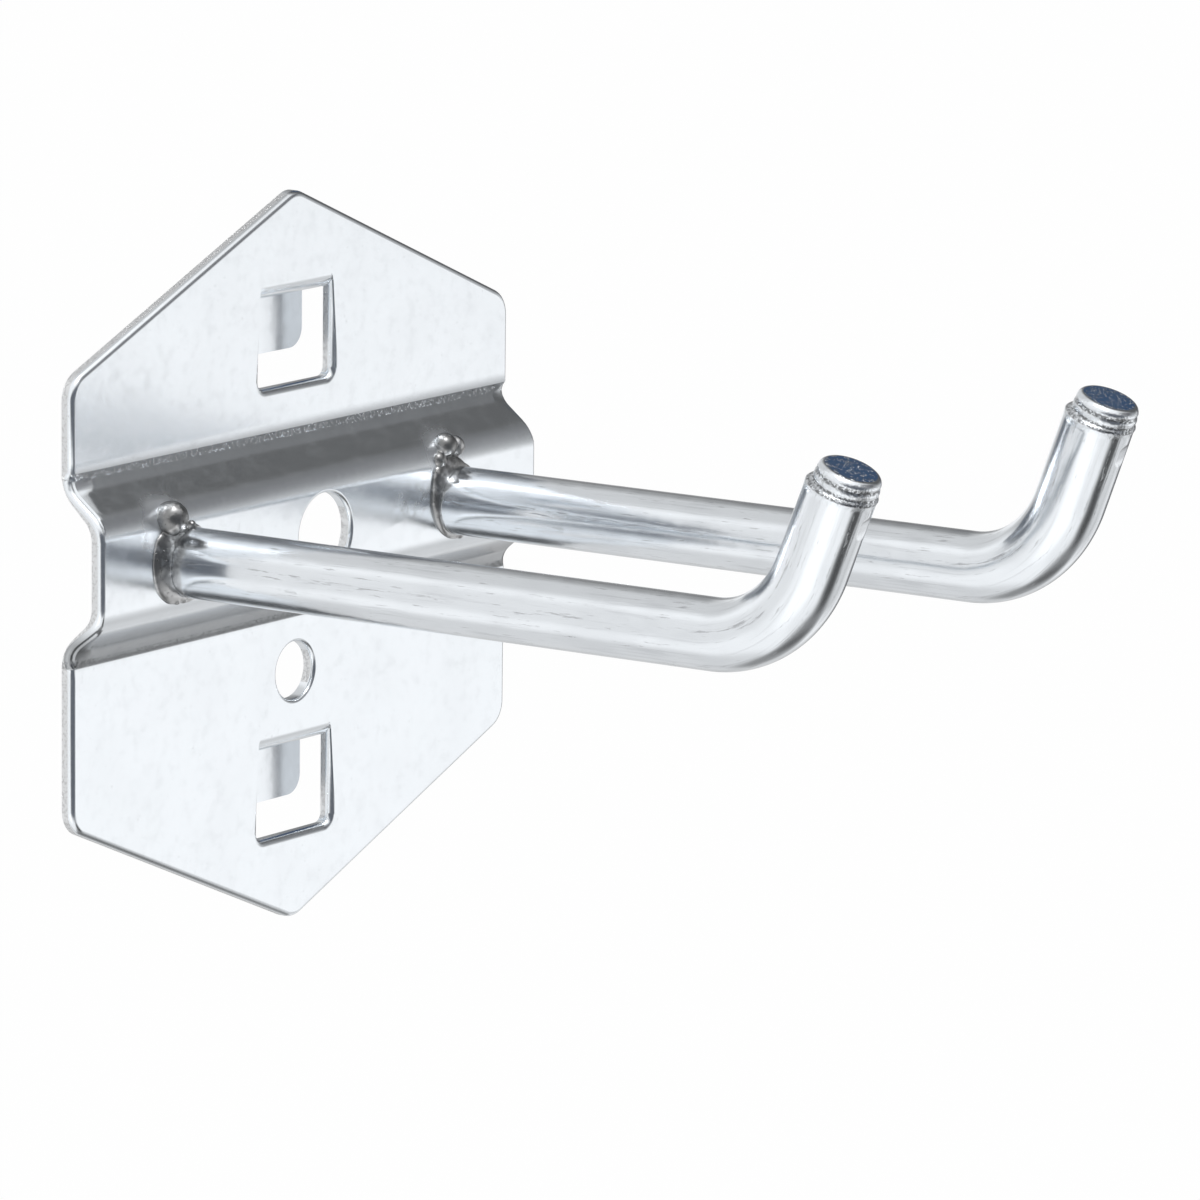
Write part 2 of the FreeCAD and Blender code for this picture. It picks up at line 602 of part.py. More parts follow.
def check(nodes):
    """Stops on a failed object or a part without a sound single solid."""
    for item in document.Objects:
        if any(state in ("Invalid", "Error") for state in item.State):
            raise RuntimeError(f"{item.Name} did not build: {item.State}")
    for node in nodes:
        if node.Shape.isNull() or not node.Shape.isValid():
            raise RuntimeError(f"{node.Label} has no valid shape")
        if len(node.Shape.Solids) != 1:
            raise RuntimeError(f"{node.Label} has {len(node.Shape.Solids)} solids")


def export(nodes):
    os.makedirs("parts", exist_ok=True)
    for node in nodes:
        node.Shape.exportStep(f"parts/{node.Label}.step")
        box = node.Shape.BoundBox
        print(f"{node.Label}: {node.Shape.Volume:.1f} mm3,"
              f" X {box.XMin:.2f} to {box.XMax:.2f},"
              f" Y {box.YMin:.2f} to {box.YMax:.2f},"
              f" Z {box.ZMin:.2f} to {box.ZMax:.2f}")


hook_nodes = make_nodes()
check(hook_nodes)
export(hook_nodes)
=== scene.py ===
# %% [markdown]
# # A double hook for a perforated panel
#
# The real hook is one stamped sheet of steel with two round prongs welded to it, all of it plated
# with bright zinc. The frame gives every solid in its true place and size, in metres, so nothing here
# is fitted by eye. This lesson dresses the hook for its portrait: the camera first, then a finer mesh
# for each piece, then the light and the floor, and last the finishes.

import math

import bmesh
import bpy
from mathutils import Matrix, Vector, noise


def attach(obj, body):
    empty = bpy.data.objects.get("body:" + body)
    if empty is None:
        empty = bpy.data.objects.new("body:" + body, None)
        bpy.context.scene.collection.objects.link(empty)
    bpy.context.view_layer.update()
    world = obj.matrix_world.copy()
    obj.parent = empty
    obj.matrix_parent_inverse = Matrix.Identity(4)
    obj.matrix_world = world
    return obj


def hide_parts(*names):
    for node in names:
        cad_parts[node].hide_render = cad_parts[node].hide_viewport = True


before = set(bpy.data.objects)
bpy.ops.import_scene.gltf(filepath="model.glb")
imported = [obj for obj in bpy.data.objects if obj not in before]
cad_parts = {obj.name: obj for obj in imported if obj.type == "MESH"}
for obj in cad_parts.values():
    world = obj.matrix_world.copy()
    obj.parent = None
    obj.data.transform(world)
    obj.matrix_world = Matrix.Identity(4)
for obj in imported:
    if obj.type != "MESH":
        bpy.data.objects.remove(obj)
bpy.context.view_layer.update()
print("Solids in the frame:", sorted(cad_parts))

# %% [markdown]
# ## The camera
#
# The hook was photographed from its front left and a little above, through a long lens, which is why
# the two prongs look almost parallel. A camera can be placed by its angles round the hook. Azimuth 0
# looks straight at the plate, and a negative azimuth moves the camera to the left.

# %% Place the camera
MM = 0.001
AZIMUTH = math.radians(-53.386)
ELEVATION = math.radians(11.303)
CAMERA_ROLL = math.radians(0.657)
CAMERA_DISTANCE = 727.2 * MM
LOOK_AT = Vector((14.638, -21.666, -3.265)) * MM
SENSOR_WIDTH = 36.0
LENS = 263.12

backwards = Vector((
    math.sin(AZIMUTH) * math.cos(ELEVATION),
    -math.cos(AZIMUTH) * math.cos(ELEVATION),
    math.sin(ELEVATION),
))
level_right = Vector((0, 0, 1)).cross(backwards).normalized()
level_up = backwards.cross(level_right)
camera_right = level_right * math.cos(CAMERA_ROLL) + level_up * math.sin(CAMERA_ROLL)
camera_up = level_up * math.cos(CAMERA_ROLL) - level_right * math.sin(CAMERA_ROLL)

lens = bpy.data.cameras.new("portrait_lens")
lens.sensor_width = SENSOR_WIDTH
lens.lens = LENS
camera = bpy.data.objects.new("portrait_camera", lens)
bpy.context.scene.collection.objects.link(camera)
turn = Matrix((camera_right, camera_up, backwards)).transposed().to_4x4()
camera.matrix_world = Matrix.Translation(LOOK_AT + backwards * CAMERA_DISTANCE) @ turn
bpy.context.scene.camera = camera
bpy.context.scene.view_settings.view_transform = "Standard"
print("Camera at", [round(c, 4) for c in camera.matrix_world.translation])

# %% [markdown]
# ## One mesh for each piece
#
# The solids carry the sizes, but a stamped edge, a sheared wire end and a weld bead are too fine for
# them. Each piece is worked out again here as a mesh, in millimetres and in its own place, and it
# stands in for its solid in the picture.

# %% Turn a worked mesh into a piece
ALL_PIECES = {}


def add_piece(name, solid_name, bm, crease=30):
    """Makes a finished mesh into the piece that stands in for a solid."""
    bmesh.ops.recalc_face_normals(bm, faces=bm.faces)
    bm.transform(Matrix.Scale(MM, 4))
    mesh = bpy.data.meshes.new(name)
    bm.to_mesh(mesh)
    bm.free()
    mesh.shade_smooth()
    mesh.set_sharp_from_angle(angle=math.radians(crease))
    piece = bpy.data.objects.new(name, mesh)
    bpy.context.scene.collection.objects.link(piece)
    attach(piece, "root")
    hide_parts(solid_name)
    ALL_PIECES[name] = piece
    print(name, "has", len(mesh.vertices), "points and", len(mesh.polygons), "faces")
    return piece


# %% [markdown]
# ## The back plate
#
# A press tool shears the blank out of a coil. It drags the metal's front edge down before it cuts, so
# every edge is rolled over in front and square behind. The solid of the plate is exact but for that,
# so its own mesh is taken, flat triangles are melted together and the front edges are rounded. Where
# the channel leaves the plate, the free ends of the sheet were bent with no metal beside them, and
# they draw in. The sheet's ends are lowered there before the rounding.

# %% Take the plate's own mesh
MERGE_DISTANCE = 0.002
FLAT_WITHIN = math.radians(0.1)


def mesh_of_solid(name):
    """A solid's points and faces in millimetres, joined up and with flat faces melted together."""
    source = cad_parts[name].data
    bm = bmesh.new()
    points = [bm.verts.new(vertex.co / MM) for vertex in source.vertices]
    for polygon in source.polygons:
        bm.faces.new([points[i] for i in polygon.vertices])
    bmesh.ops.remove_doubles(bm, verts=bm.verts, dist=MERGE_DISTANCE)
    bmesh.ops.dissolve_limit(bm, angle_limit=FLAT_WITHIN, verts=bm.verts, edges=bm.edges)
    return bm


def is_front(face):
    """On the sheet's front, or on a slope or bend of it."""
    return face.normal.y < -0.3


def is_wall(face):
    """Across the sheet's thickness, where the press cut it."""
    return abs(face.normal.y) < 0.12


plate = mesh_of_solid("back_plate")
print("The plate's solid gives", len(plate.faces), "faces")

# %% Draw in the channel's ends
PLATE_HALF_WIDTH = 28.75
CHANNEL_CENTRE = 2.95
# Near the channel's ends the sheet gets a row of points at each of these distances from its side
DRAW_CUTS = (0.6, 0.9, 1.2, 1.5, 1.8, 2.1, 2.4, 2.7)
DRAW_ZONE = 8.7
DRAW_TILT = 0.20
# The lower right end of the channel has hardly drawn in
LOWER_RIGHT_SHARE = 0.3
# Distance from the channel's middle against how far in from its ends the metal draws in
DRAW_REACH = ((3.3, 0.0), (4.2, 0.8), (7.0, 2.8), (7.5, 2.4), (7.95, 0.0), (8.6, 0.0))


def follow(table, value):
    """Reads a table of pairs at a value, straight between its rows."""
    for (low, first), (high, second) in zip(table, table[1:]):
        if value <= high:
            share = max(0.0, (value - low) / (high - low))
            return first + (second - first) * share
    return table[-1][1]


def is_in_channel(face):
    return all(abs(vertex.co.z - CHANNEL_CENTRE) < DRAW_ZONE for vertex in face.verts)


def draw_in_ends(bm):
    """Lowers the free ends of the sheet where the channel was bent, most of all at their edge."""
    for side in (1, -1):
        for cut in DRAW_CUTS:
            sloping = [face for face in bm.faces if is_in_channel(face)]
            near = {item for face in sloping for item in (face, *face.edges, *face.verts)}
            edge = Vector((side * (PLATE_HALF_WIDTH - cut), 0, 0))
            bmesh.ops.bisect_plane(bm, geom=list(near), plane_co=edge, plane_no=(1, 0, 0), dist=1e-5)
    bm.normal_update()
    moves = {}
    for vertex in bm.verts:
        if not any(is_front(face) for face in vertex.link_faces):
            continue
        reach = follow(DRAW_REACH, abs(vertex.co.z - CHANNEL_CENTRE))
        inside = PLATE_HALF_WIDTH - abs(vertex.co.x)
        if inside < reach:
            lower_right = vertex.co.x > 0 and vertex.co.z < CHANNEL_CENTRE
            tilt = DRAW_TILT * (LOWER_RIGHT_SHARE if lower_right else 1.0)
            outwards = Vector((0, vertex.normal.y, vertex.normal.z)).normalized()
            moves[vertex] = outwards * -tilt * (reach - inside) ** 1.5 / reach ** 0.5
    for vertex, move in moves.items():
        vertex.co += move
    print("Drawn in:", len(moves), "points")


draw_in_ends(plate)

# %% Roll the plate's edges
FLAT_FRONT = -1.1
PANEL_ROW = 38.0


def rim_edges(bm, wanted):
    """Edges between the sheet's front and a sheared wall, where a test on their middle holds."""
    found = []
    for edge in bm.edges:
        if len(edge.link_faces) != 2:
            continue
        first, second = edge.link_faces
        if not (is_front(first) and is_wall(second) or is_front(second) and is_wall(first)):
            continue
        if wanted((edge.verts[0].co + edge.verts[1].co) / 2):
            found.append(edge)
    return found


def roll(bm, edges, width, segments):
    bmesh.ops.bevel(
        bm, geom=edges, offset=width, offset_type="OFFSET", segments=segments,
        profile=0.5, affect="EDGES", material=-1, clamp_overlap=False,
    )


def on_outline(middle):
    """Further out than any window or hole."""
    return abs(middle.x) > 10 or abs(middle.z) > 26


def on_lower_hole(middle):
    return not on_outline(middle) and -13 < middle.z < -6


def on_large_hole(middle):
    return not on_outline(middle) and -6 < middle.z < 8


def on_window(middle):
    """Round a window, but not on the tab that hangs from its top."""
    above_middle = middle.z - math.copysign(PANEL_ROW / 2, middle.z)
    on_flat = abs(middle.y - FLAT_FRONT) < 0.02
    return not on_outline(middle) and on_flat and -5 < above_middle < 3.6


# Each rim: its name, the test for it, how wide it is rolled and in how many steps
RIMS = (
    ("outline", on_outline, 0.50, 5),
    ("windows", on_window, 0.60, 5),
    ("lower hole", on_lower_hole, 0.35, 4),
    ("large hole", on_large_hole, 0.35, 4),
)
for rim, wanted, width, segments in RIMS:
    edges = rim_edges(plate, wanted)
    roll(plate, edges, width, segments)
    print("Rolled", len(edges), "edges of the", rim)

# %% Mark the sheared walls
TAB_HALF_WIDTH = 4.6


def is_sheared(face):
    """On a wall that the press cut, which is neither a side of the sheet nor a bend of a tab."""
    on_side = abs(face.normal.y) > 0.02
    on_tab = abs(face.calc_center_median().x) < TAB_HALF_WIDTH and abs(face.normal.z) > 0.5
    return not on_side and not on_tab


plate.normal_update()
sheared = plate.faces.layers.float.new("sheared")
for face in plate.faces:
    face[sheared] = 1.0 if is_sheared(face) else 0.0
plate_piece = add_piece("stamped_plate", "back_plate", plate)

# %% [markdown]
# A bend is a smooth curve, but its mesh is a few flat strips. Bright metal shows every one of them, so
# the points on the sheet's two sides are told which way the true surface faces there: it starts to
# lean past the face of the channel, leans like the slope between the bends, and is upright again at
# the foot.

# %% Lean the sheet's normals
FACE_HALF_HEIGHT = 2.718
FOOT_HALF_HEIGHT = 7.988
INNER_BEND = 2.2
OUTER_BEND = 3.3
SLOPE_LEAN = math.radians(48.37)
SAME_WAY = math.cos(math.radians(6.5))
SAME_SIDE = 0.5


def lean_after(share):
    """The lean of a surface at a share of a bend's radius, measured up the plate."""
    return math.asin(min(max(share, 0.0), 1.0))


def sheet_normal(z, front):
    """Which way the sheet's front or back faces at a height."""
    side = z - CHANNEL_CENTRE
    face_bend, foot_bend = (OUTER_BEND, INNER_BEND) if front else (INNER_BEND, OUTER_BEND)
    past_face = (abs(side) - FACE_HALF_HEIGHT) / face_bend
    before_foot = (FOOT_HALF_HEIGHT - abs(side)) / foot_bend
    lean = min(lean_after(past_face), lean_after(before_foot), SLOPE_LEAN)
    normal = Vector((0, -math.cos(lean), math.copysign(math.sin(lean), side)))
    return normal if front else -normal


def lean_normals(mesh):
    """Gives every corner on the sheet's two sides the normal of the true surface."""
    true_normals = {}
    for polygon in mesh.polygons:
        front = polygon.normal.y < 0
        if polygon.normal.dot(sheet_normal(polygon.center.z / MM, front)) < SAME_WAY:
            continue
        for index in polygon.vertices:
            true_normals[index] = sheet_normal(mesh.vertices[index].co.z / MM, front)
    normals = [Vector(corner.vector) for corner in mesh.corner_normals]
    for polygon in mesh.polygons:
        for corner in polygon.loop_indices:
            true = true_normals.get(mesh.loops[corner].vertex_index)
            if true is not None and polygon.normal.dot(true) > SAME_SIDE:
                normals[corner] = true
    mesh.normals_split_custom_set(normals)
    print("Points with a true normal:", len(true_normals), "of", len(mesh.vertices))


lean_normals(plate_piece.data)

# %% [markdown]
# ## The prongs
#
# Each prong is round wire, cut by a shear and bent over a roller. The shear leaves a dark flat end
# with a rounded edge, and the die that squeezed the tip to size left two shallow rings and a lip. A
# plain circle is extruded step by step along the wire's axis, and each new ring is put in its place.
# The points also remember where they would lie if the wire were straight, so that scratches can
# follow the bend.

# %% Extrude a circle step by step


def sweep(bm, points, rows, place):
    """Extrudes a circle once for each row, and returns the edges of its first ring and its last."""
    around = bm.verts.layers.float["around"]
    ring = bmesh.ops.create_circle(bm, segments=points, radius=1.0)["verts"]
    for vertex in ring:
        vertex[around] = math.atan2(vertex.co.y, vertex.co.x)
    edges = first = list(bm.edges)
    for number, row in enumerate(rows):
        if number:
            grown = bmesh.ops.extrude_edge_only(bm, edges=edges)["geom"]
            ring = [item for item in grown if isinstance(item, bmesh.types.BMVert)]
            grown_edges = [item for item in grown if isinstance(item, bmesh.types.BMEdge)]
            edges = [edge for edge in grown_edges if edge.is_boundary]
        for vertex in ring:
            place(vertex, vertex[around], row)
    return first, edges


# %% Carry a ring of points along the wire
RING_POINTS = 144
WIRE_RADIUS = 2.9
CHANNEL_FRONT = -4.25
PRONG_HEIGHT = 2.6
PRONG_RISE = math.radians(1.0)
STRAIGHT = 52.5
BEND_RADIUS = 10.2
PRONGS = {
    "left": {"x": -17.75, "bend": math.radians(67.3), "upturn": 7.2},
    "right": {"x": 17.75, "bend": math.radians(68.5), "upturn": 7.7},
}
# The cap adds its height to the upturn, and sits a little off the wire's axis down to its foot
CAP_HEIGHT = 1.6
CAP_FOOT = 1.95
CAP_BLEND = 0.35
CAP_SHIFT = 0.20
CAP_SHIFT_TOWARDS = math.radians(-62)
# Depth below the end of the wire against the radius there
TIP = (
    (0.00, 1.95), (0.01, 2.10), (0.05, 2.24), (0.13, 2.37), (0.25, 2.48), (0.40, 2.56), (0.55, 2.60),
    (0.66, 2.58), (0.76, 2.55), (0.86, 2.57), (0.98, 2.64), (1.12, 2.67), (1.28, 2.66), (1.40, 2.62),
    (1.50, 2.62), (1.60, 2.68), (1.70, 2.80), (1.80, 2.89), (1.92, 2.93), (2.06, 2.915), (2.20, 2.90),
)
TIP_DEPTH = TIP[-1][0]
# The bending tool pressed a small flat below the cap
NIP_DEPTH = 0.15
NIP_MIDDLE = 3.9
NIP_HALF_LENGTH = 0.9
NIP_TOWARDS = math.radians(-80)
# Distances between rings on the straight run, on the bend and on the upturn
STRAIGHT_STEP = 1.0
BEND_STEP = 0.35
UPTURN_STEP = 0.12


def wire_point(prong, along):
    """The axis of a prong at a length from its root, and the wire's upper side there."""
    bend_length = BEND_RADIUS * prong["bend"]
    turned = PRONG_RISE + min(max(along - STRAIGHT, 0.0), bend_length) / BEND_RADIUS
    start = Vector((prong["x"], CHANNEL_FRONT, PRONG_HEIGHT))
    ahead = Vector((0, -math.cos(turned), math.sin(turned)))
    upper = Vector((0, math.sin(turned), math.cos(turned)))
    first_ahead = Vector((0, -math.cos(PRONG_RISE), math.sin(PRONG_RISE)))
    first_upper = Vector((0, math.sin(PRONG_RISE), math.cos(PRONG_RISE)))
    point = start + first_ahead * min(along, STRAIGHT)
    if along > STRAIGHT:
        point += (first_upper - upper) * BEND_RADIUS
    point += ahead * max(along - STRAIGHT - bend_length, 0.0)
    return point, upper


def stations(prong):
    """Each ring's length along the wire, radius, middle and upper side, and the wire's whole length."""
    total = STRAIGHT + BEND_RADIUS * prong["bend"] + prong["upturn"] + CAP_HEIGHT
    fine_from = total - NIP_MIDDLE - NIP_HALF_LENGTH - 1.0
    places = [0.0]
    while places[-1] < STRAIGHT - STRAIGHT_STEP:
        places.append(places[-1] + STRAIGHT_STEP)
    while places[-1] < fine_from:
        places.append(places[-1] + BEND_STEP)
    while places[-1] < total - TIP_DEPTH - 0.1:
        places.append(places[-1] + UPTURN_STEP)
    rows = [(along, WIRE_RADIUS) for along in places if along < total - TIP_DEPTH]
    rows += [(total - depth, radius) for depth, radius in reversed(TIP)]
    return [(along, radius, *wire_point(prong, along)) for along, radius in rows], total


def ring_radius(angle, radius, depth):
    """The wire's radius at an angle round it, less the flat that the bending tool pressed."""
    along = abs(depth - NIP_MIDDLE) / NIP_HALF_LENGTH
    facing = math.cos(angle - NIP_TOWARDS)
    if along >= 1.0 or facing <= 0.2:
        return radius
    flat_distance = WIRE_RADIUS - NIP_DEPTH * (1.0 - along ** 4)
    return min(radius, flat_distance / facing)


def make_prong(side):
    """One prong. Its points also know their place on the unbent wire and their depth below its end."""
    prong = PRONGS[side]
    bm = bmesh.new()
    bm.verts.layers.float.new("around")
    bm.verts.layers.float_vector.new("unbent")
    bm.verts.layers.float.new("below_end")
    unbent = bm.verts.layers.float_vector["unbent"]
    below_end = bm.verts.layers.float["below_end"]
    rows, total = stations(prong)

    def place(vertex, angle, row):
        along, radius, middle, upper = row
        depth = total - along
        shift = CAP_SHIFT * min(max((CAP_FOOT - depth) / CAP_BLEND, 0.0), 1.0)
        reach = ring_radius(angle, radius, depth)
        across = math.cos(angle) * reach + math.cos(CAP_SHIFT_TOWARDS) * shift
        above = math.sin(angle) * reach + math.sin(CAP_SHIFT_TOWARDS) * shift
        vertex.co = middle + Vector((across, 0, 0)) + upper * above
        if along == 0.0:
            vertex.co.y = CHANNEL_FRONT
        vertex[unbent] = (across, -along, above)
        vertex[below_end] = depth

    first, last = sweep(bm, RING_POINTS, rows, place)
    bmesh.ops.holes_fill(bm, edges=first + last)
    add_piece(f"{side}_wire", f"{side}_prong", bm, crease=50)


for side in PRONGS:
    make_prong(side)

# %% [markdown]
# ## The weld beads
#
# Each prong was butted on the channel and melted to it by a short run of weld, which starts with a
# drop of metal above the prong and dribbles down its left side. A bead is a heap of rounded lumps. Its
# fillet is a circle round the prong, extruded outwards along the channel as the wire was along its
# axis, and the drops are balls. A voxel remesh melts them into one skin, and a little noise makes that
# skin uneven.

# %% Sizes of the weld
# Fillet: degrees round the axis from the right, width on the channel, height on the wire
FILLETS = {
    "left": (
        (0, 0.12, 0.10), (60, 0.15, 0.14), (90, 0.40, 0.35), (118, 1.40, 0.55), (150, 1.95, 0.50),
        (180, 1.75, 0.46), (205, 1.65, 0.44), (228, 1.20, 0.38), (250, 0.55, 0.28), (285, 0.35, 0.20),
        (320, 0.12, 0.10), (360, 0.12, 0.10),
    ),
    "right": (
        (0, 0.12, 0.10), (45, 0.16, 0.14), (75, 0.35, 0.28), (105, 1.30, 0.50), (135, 1.45, 0.55),
        (160, 0.80, 0.50), (190, 0.45, 0.42), (215, 0.40, 0.40), (245, 0.40, 0.30), (290, 0.45, 0.26),
        (325, 0.12, 0.10), (360, 0.12, 0.10),
    ),
}
# Drops: to the side of the prong's axis, above it, how far out of the channel's face, radius
DROPS = {
    "left": (
        (-2.60, 4.05, 0.25, 1.41), (0.15, 3.10, 0.10, 0.36),
        (-1.60, -3.00, 0.00, 0.30), (-0.70, -3.05, 0.00, 0.26),
    ),
    "right": (
        (-1.30, 4.85, -0.40, 1.05), (-2.35, 3.75, -0.30, 0.75), (0.00, 4.60, -0.40, 0.92),
        (-2.70, 2.60, -0.10, 0.55), (0.40, -3.05, 0.00, 0.32),
    ),
}
BEAD_RINGS = 44
BEAD_SPOKES = 220
BEAD_SKIN = 0.03
BEAD_GRAIN = 0.07
THINNEST = 0.02
SUNK = 0.05
print("Drops of weld:", {side: len(drops) for side, drops in DROPS.items()})

# %% Heap up the weld


def channel_front(z):
    """The front of the channel at a height, as far as a weld reaches over its upper bend."""
    past_face = max(abs(z - CHANNEL_CENTRE) - FACE_HALF_HEIGHT, 0.0)
    return CHANNEL_FRONT + OUTER_BEND - math.sqrt(OUTER_BEND ** 2 - past_face ** 2)


def fillet_height(side, across, above):
    """Height of the fillet over the channel, 0 outside it."""
    degrees = math.degrees(math.atan2(above, across)) % 360
    width = follow([(row[0], row[1]) for row in FILLETS[side]], degrees)
    tall = follow([(row[0], row[2]) for row in FILLETS[side]], degrees)
    away = (math.hypot(across, above) - WIRE_RADIUS) / width
    return tall * math.sqrt(max(1.0 - max(away, 0.0) ** 2, 0.0))


def add_fillet_ring(bm, side, x):
    """A low collar round the prong, with its underside a little below the channel's front."""
    inner = WIRE_RADIUS - SUNK
    widths = [(row[0], row[1]) for row in FILLETS[side]]

    def place(vertex, angle, row):
        share, sunk = row
        reach = WIRE_RADIUS + follow(widths, math.degrees(angle) % 360)
        distance = inner + (reach - inner) * share
        across, above = math.cos(angle) * distance, math.sin(angle) * distance
        rough = 1.0 + BEAD_SKIN * 4 * noise.fractal(Vector((across, above, x)), 1.0, 2.0, 2)
        height = max(fillet_height(side, across, above) * rough, THINNEST)
        if sunk:
            height = -SUNK
        vertex.co = (x + across, channel_front(PRONG_HEIGHT + above) - height, PRONG_HEIGHT + above)

    rows = [(math.sin(math.pi / 2 * k / BEAD_RINGS), False) for k in range(BEAD_RINGS)]
    first, last = sweep(bm, BEAD_SPOKES, [(0.0, True), *rows, (1.0, True)], place)
    bmesh.ops.bridge_loops(bm, edges=first + last)


def add_drop(bm, x, drop):
    """A ball of molten metal, flat where it lies on the channel."""
    across, above, out, radius = drop
    middle = Vector((x + across, CHANNEL_FRONT - out, PRONG_HEIGHT + above))
    place = Matrix.Translation(middle)
    ball = bmesh.ops.create_icosphere(bm, subdivisions=4, radius=radius, matrix=place)
    for vertex in ball["verts"]:
        swell = noise.fractal(vertex.co * 1.1, 1.0, 2.0, 2)
        vertex.co += (vertex.co - middle) * BEAD_SKIN * swell
        vertex.co.y = min(vertex.co.y, channel_front(vertex.co.z) + SUNK)


def make_bead(side):
    """One bead, with the modifiers that melt its lumps together and let the skin settle."""
    x = PRONGS[side]["x"]
    bm = bmesh.new()
    bm.verts.layers.float.new("around")
    add_fillet_ring(bm, side, x)
    for drop in DROPS[side]:
        add_drop(bm, x, drop)
    bead = add_piece(f"{side}_bead", f"{side}_weld", bm, crease=70)
    melted = bead.modifiers.new("melted_together", "REMESH")
    melted.mode = "VOXEL"
    melted.voxel_size = BEAD_GRAIN * MM
    melted.use_smooth_shade = True
    settled = bead.modifiers.new("settled", "SMOOTH")
    settled.factor = 0.5
    settled.iterations = 4


for side in PRONGS:
    make_bead(side)

# %% [markdown]
# ## Writing materials as sums
#
# A procedural finish is mostly arithmetic on patterns. Wiring each sum by hand is slow to write and
# to read, so one small class wraps a socket and lets Python's own operators add the Math nodes. Any
# other node comes from one method.

# %% A signal that can be added and multiplied


class Signal:
    """One value, vector or colour of a node tree."""

    def __init__(self, tree, socket):
        self.tree = tree
        self.socket = socket

    def node(self, kind, settings=None, output=0, **inputs):
        """Any node, with its settings made first and then its sockets filled by name or by number."""
        made = self.tree.nodes.new(kind)
        for name, value in (settings or {}).items():
            setattr(made, name, value)
        for name, value in inputs.items():
            key = int(name[1:]) if name[1:].isdigit() else name.replace("_", " ")
            if isinstance(value, Signal):
                self.tree.links.new(value.socket, made.inputs[key])
            else:
                made.inputs[key].default_value = value
        return None if output is None else Signal(self.tree, made.outputs[output])

    def maths(self, operation, *values):
        """A Math node on numbers or signals, in the order of its sockets."""
        sockets = {f"i{i}": value for i, value in enumerate(values)}
        return self.node("ShaderNodeMath", {"operation": operation}, **sockets)

    def vector_maths(self, operation, *values, output=0):
        """The same with vectors. An operation that ends in one number has it on output 1."""
        sockets = {f"i{i}": value for i, value in enumerate(values)}
        return self.node("ShaderNodeVectorMath", {"operation": operation}, output, **sockets)

    def __add__(self, other):
        return self.maths("ADD", self, other)

    def __sub__(self, other):
        return self.maths("SUBTRACT", self, other)

    def __rsub__(self, other):
        return self.maths("SUBTRACT", other, self)

    def __mul__(self, other):
        return self.maths("MULTIPLY", self, other)

    __radd__ = __add__
    __rmul__ = __mul__

    def between(self, low, high):
        """0 below low, 1 above high and smooth in between."""
        ease = {"interpolation_type": "SMOOTHSTEP"}
        return self.node("ShaderNodeMapRange", ease, Value=self, From_Min=low, From_Max=high)

    def within(self, low, high):
        return self.node("ShaderNodeClamp", Value=self, Min=low, Max=high)

    def band(self, middle, half_width, fade):
        """1 within half_width of middle, and 0 a fade further off."""
        away = (self - middle).size()
        return 1.0 - away.between(half_width, half_width + fade)

    def size(self):
        """The value without its sign."""
        return self.maths("ABSOLUTE", self)

    def angle(self):
        """The angle whose tangent is the value."""
        return self.maths("ARCTANGENT", self)

    def mix(self, first, second):
        """A colour that goes from first to second as this value goes from 0 to 1."""
        return self.node("ShaderNodeMix", {"data_type": "RGBA"}, 2, i0=self, i6=first, i7=second)

    def stretch(self, x, y, z):
        return self.vector_maths("MULTIPLY", self, (x, y, z))

    def noise(self, scale, detail=2.0, roughness=0.5):
        """Cloudy noise around 0.5 with features about 1 / scale across."""
        return self.node(
            "ShaderNodeTexNoise", Vector=self, Scale=scale, Detail=detail, Roughness=roughness,
        )

    def part(self, axis):
        """The x, y or z of a vector, by its number 0, 1 or 2."""
        return self.node("ShaderNodeSeparateXYZ", output=axis, i0=self)


def new_tree(owner):
    """Clears the nodes of a material or a world and returns its tree with nothing in it."""
    owner.use_nodes = True
    owner.node_tree.nodes.clear()
    return Signal(owner.node_tree, None)


print("Sums that a signal knows:", [name for name in vars(Signal) if not name.startswith("_")])

# %% [markdown]
# ## The light
#
# Bright zinc has hardly any colour of its own: what is seen on it is the room. The hook was shot on a
# white table in a white tent, and the tent's open front and the dark studio behind it are what draw
# the folds and edges. So the world is white, with a few soft patches on it: two where the lit cloth was
# brighter, and dark ones in the directions where the studio showed. The camera itself looks past them
# at plain white. One soft lamp from above makes the small highlights.

# %% Pitch the tent
WHITE = (1.0, 1.0, 1.0, 1.0)
